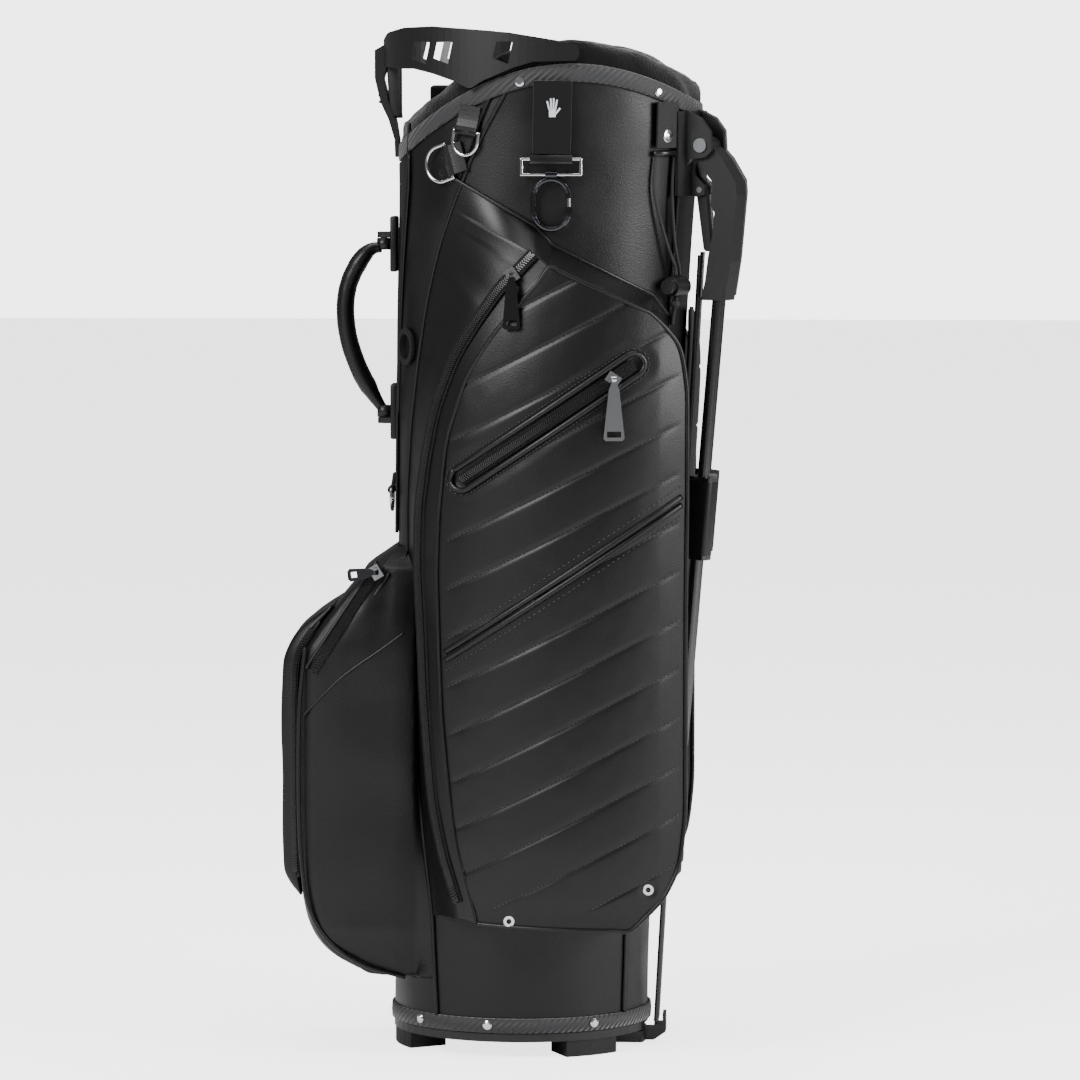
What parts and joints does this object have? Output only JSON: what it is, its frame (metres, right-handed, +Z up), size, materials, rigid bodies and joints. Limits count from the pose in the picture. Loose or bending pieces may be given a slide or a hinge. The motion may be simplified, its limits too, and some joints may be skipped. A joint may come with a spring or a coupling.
{
  "type": "golf stand bag",
  "caption": "Golf stand bag with a soft quilted body, zipped pockets, a moulded top cuff with divided openings and two fold-out legs worked by a base lever.",
  "frame": {"origin": "centre of the bag tube at floor level, on the plane of the base feet", "axes": "+Z up along the bag, +X towards the stand legs, -Y towards the quilted side with the welted pocket"},
  "size_m": [0.4, 0.3083, 0.882],
  "materials": {
    "black_nylon": null,
    "foot_rubber": null,
    "rod_steel": null,
    "quilted_leather": null,
    "smooth_leather": null,
    "strap_leather": null,
    "pad_leather": null,
    "satin_plastic": null,
    "webbing": null,
    "webbing_handle": null,
    "velvet": null,
    "divider_cloth": null,
    "stay_plastic": null,
    "grip_rubber": null,
    "chrome": null,
    "zip_coil": null,
    "pull_rubber": null,
    "black_wire": null,
    "elastic": null,
    "pin_steel": null,
    "link_steel": null,
    "leg_tube": null
  },
  "bodies": {
    "bag": {"base_tray": "black_nylon", "base_feet": "foot_rubber", "front_panel": "quilted_leather", "spine_strip": "smooth_leather", "near_panel": "smooth_leather", "far_panel": "smooth_leather", "leg_panel": "smooth_leather", "hip_pad": "pad_leather", "cuff_ring": "satin_plastic", "rim_webbing": "webbing", "rim_collar": "velvet", "hem_webbing": "webbing", "divider_top": "velvet", "divider_long": "divider_cloth", "divider_cross": "divider_cloth", "stays": "stay_plastic", "top_handle": "satin_plastic", "handle_grip": "grip_rubber", "rim_rivets": "chrome", "base_rivets": "chrome", "handle_anchors": "chrome", "near_pocket": "smooth_leather", "far_pocket": "smooth_leather", "zip_chains": "zip_coil", "pocket_eyelets": "chrome", "ball_pocket": "smooth_leather", "ball_front": "smooth_leather", "umbrella_grommet": "grip_rubber", "ring_straps": "strap_leather", "glove_strap": "webbing", "snap_tab": "strap_leather", "elastic_cord": "elastic", "cord_lock": "satin_plastic", "leg_bracket": "satin_plastic", "pivot_pins": "pin_steel"},
    "kick": {"kick_lever": "black_nylon"},
    "rod": {"actuator_rod": "rod_steel"},
    "near_leg": {"leg_near": "leg_tube", "shroud_near": "satin_plastic"},
    "far_leg": {"leg_far": "leg_tube", "shroud_far": "satin_plastic"},
    "near_link": {"link_near": "link_steel"},
    "far_link": {"link_far": "link_steel"},
    "carry": {"carry_handle": "webbing_handle"},
    "ring_side": {"d_ring_side": "chrome"},
    "ring_top": {"d_ring_top": "chrome"},
    "ring_spine": {"d_ring_spine": "chrome"},
    "glove_ring": {"strap_ring": "black_wire"},
    "snap_hook": {"carabiner": "black_wire"},
    "snap_gate": {"carabiner_gate": "chrome"},
    "near_zip": {"near_slider": "chrome"},
    "near_zip_pull": {"near_pull": "pull_rubber"},
    "far_zip": {"far_slider": "chrome"},
    "far_zip_pull": {"far_pull": "pull_rubber"},
    "welt_zip": {"welt_slider": "chrome"},
    "welt_zip_pull": {"welt_pull": "chrome"},
    "ball_zip": {"ball_slider": "chrome"},
    "ball_zip_pull": {"ball_pull": "pull_rubber"},
    "lock_plunger": {"lock_button": "satin_plastic"}
  },
  "joints": [
    {"name": "leg_near_swing", "type": "hinge", "parent": "bag", "child": "near_leg", "pos_m": [0.163, -0.048, 0.781], "axis": [-0.4226, -0.9063, 0], "range_deg": [0, 35]},
    {"name": "leg_far_swing", "type": "hinge", "parent": "bag", "child": "far_leg", "pos_m": [0.163, 0.048, 0.781], "axis": [0.4226, -0.9063, 0], "range_deg": [0, 35]},
    {"name": "link_near_turn", "type": "hinge", "parent": "bag", "child": "near_link", "pos_m": [0.15847, -0.04589, 0.743], "axis": [-0.4226, -0.9063, 0], "range_deg": [0, 53]},
    {"name": "link_far_turn", "type": "hinge", "parent": "bag", "child": "far_link", "pos_m": [0.15847, 0.04589, 0.743], "axis": [0.4226, -0.9063, 0], "range_deg": [0, 53]},
    {"name": "rod_slide", "type": "slide", "parent": "bag", "child": "rod", "axis": [0.0561, 0, 0.9984], "range_m": [0, 0.0079]},
    {"name": "kick_turn", "type": "hinge", "parent": "bag", "child": "kick", "pos_m": [0.062, 0, 0.0082], "axis": [0, -1, 0], "range_deg": [0, 8.1]},
    {"name": "carry_handle_swing", "type": "hinge", "parent": "bag", "child": "carry", "pos_m": [-0.118, 0, 0.6225], "axis": [0, 0, 1], "range_deg": [-40, 40]},
    {"name": "side_ring_swing", "type": "hinge", "parent": "bag", "child": "ring_side", "pos_m": [-0.05598, -0.09018, 0.768], "axis": [-0.2563, 0.1726, 0.9511], "range_deg": [0, 120]},
    {"name": "top_ring_swing", "type": "hinge", "parent": "bag", "child": "ring_top", "pos_m": [-0.04021, -0.0994, 0.793], "axis": [-0.8866, 0.4412, 0.1392], "range_deg": [0, 120]},
    {"name": "spine_ring_swing", "type": "hinge", "parent": "bag", "child": "ring_spine", "pos_m": [-0.1116, 0, 0.482], "axis": [0, 1, 0], "range_deg": [0, 120]},
    {"name": "glove_ring_swing", "type": "hinge", "parent": "bag", "child": "glove_ring", "pos_m": [0.03238, -0.11511, 0.77], "axis": [-0.999, -0.0451, 0], "range_deg": [0, 100]},
    {"name": "snap_hook_swing", "type": "hinge", "parent": "glove_ring", "child": "snap_hook", "pos_m": [0.03238, -0.11511, 0.757], "axis": [-0.999, -0.0451, 0], "range_deg": [0, 60]},
    {"name": "snap_gate_turn", "type": "hinge", "parent": "snap_hook", "child": "snap_gate", "pos_m": [0.04737, -0.11443, 0.7283], "axis": [0.0451, -0.999, 0], "range_deg": [0, 30], "stiffness_Nm_per_rad": 0.02},
    {"name": "near_zip_slide", "type": "slide", "parent": "bag", "child": "near_zip", "axis": [-0.5632, 0.11, -0.819], "range_m": [0, 0.025]},
    {"name": "near_pull_swing", "type": "hinge", "parent": "near_zip", "child": "near_zip_pull", "pos_m": [0.00038, -0.14327, 0.67352], "axis": [-0.9945, 0.1045, 0], "range_deg": [0, 150]},
    {"name": "far_zip_slide", "type": "slide", "parent": "bag", "child": "far_zip", "axis": [-0.5632, -0.11, -0.819], "range_m": [0, 0.025]},
    {"name": "far_pull_swing", "type": "hinge", "parent": "far_zip", "child": "far_zip_pull", "pos_m": [0.00038, 0.14327, 0.67352], "axis": [0.9945, 0.1045, 0], "range_deg": [0, 150]},
    {"name": "welt_zip_slide", "type": "slide", "parent": "bag", "child": "welt_zip", "axis": [-0.814, -0.19, -0.549], "range_m": [0, 0.03]},
    {"name": "welt_pull_swing", "type": "hinge", "parent": "welt_zip", "child": "welt_zip_pull", "pos_m": [0.08715, -0.1536, 0.58659], "axis": [-0.9816, -0.1908, 0], "range_deg": [0, 150]},
    {"name": "ball_zip_slide", "type": "slide", "parent": "bag", "child": "ball_zip", "axis": [-0.527, -0.096, -0.8444], "range_m": [0, 0.06]},
    {"name": "ball_pull_swing", "type": "hinge", "parent": "ball_zip", "child": "ball_zip_pull", "pos_m": [-0.12, -0.0794, 0.416], "axis": [-0.1045, 0, 0.9945], "range_deg": [0, 120]},
    {"name": "lock_button_press", "type": "slide", "parent": "bag", "child": "lock_plunger", "axis": [0.5687, 0.8226, 0], "range_m": [0, 0.003], "stiffness_N_per_m": 200}
  ],
  "couplings": [
    {"joint": "leg_far_swing", "follows": "leg_near_swing", "ratio": 1},
    {"joint": "link_near_turn", "follows": "leg_near_swing", "ratio": 1.5},
    {"joint": "link_far_turn", "follows": "leg_near_swing", "ratio": 1.5},
    {"joint": "rod_slide", "follows": "leg_near_swing", "m_per_rad": 0.012769},
    {"joint": "kick_turn", "follows": "leg_near_swing", "ratio": 0.22857}
  ]
}
